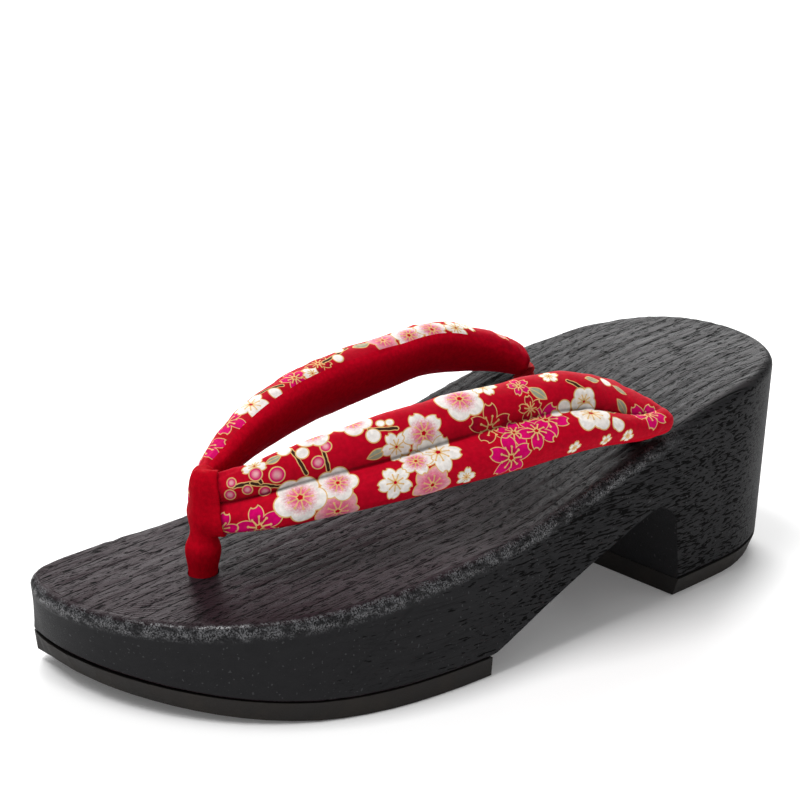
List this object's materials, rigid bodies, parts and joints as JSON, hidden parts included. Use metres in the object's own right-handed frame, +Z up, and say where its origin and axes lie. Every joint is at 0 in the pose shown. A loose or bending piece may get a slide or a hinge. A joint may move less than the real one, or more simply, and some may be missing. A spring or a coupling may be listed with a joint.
{
  "type": "geta sandal",
  "caption": "Heeled wooden geta sandal for the left foot, black brushed wood base with a padded V strap, cloth toe post and rubber soles.",
  "frame": {"origin": "on the floor, under the middle of the sandal's plan", "axes": "+Y from toe to heel, +Z up, +X towards the little toe side (the wearer's left)"},
  "size_m": [0.0898, 0.24, 0.0754],
  "materials": {
    "black_wood": "black stained and lacquered, deeply brushed grain",
    "sole_rubber": "matt dark rubber",
    "printed_cotton": "red cotton printed with blossom, plain red on the underside",
    "red_cloth": "plain red napped cloth",
    "cord_cloth": "red cotton cord"
  },
  "bodies": {
    "root": {"wooden_base": "black_wood", "forefoot_sole": "sole_rubber", "heel_cap": "sole_rubber", "strap": "printed_cotton", "toe_post": "red_cloth", "toe_knot": "cord_cloth", "outer_knot": "cord_cloth", "inner_knot": "cord_cloth"}
  },
  "joints": []
}
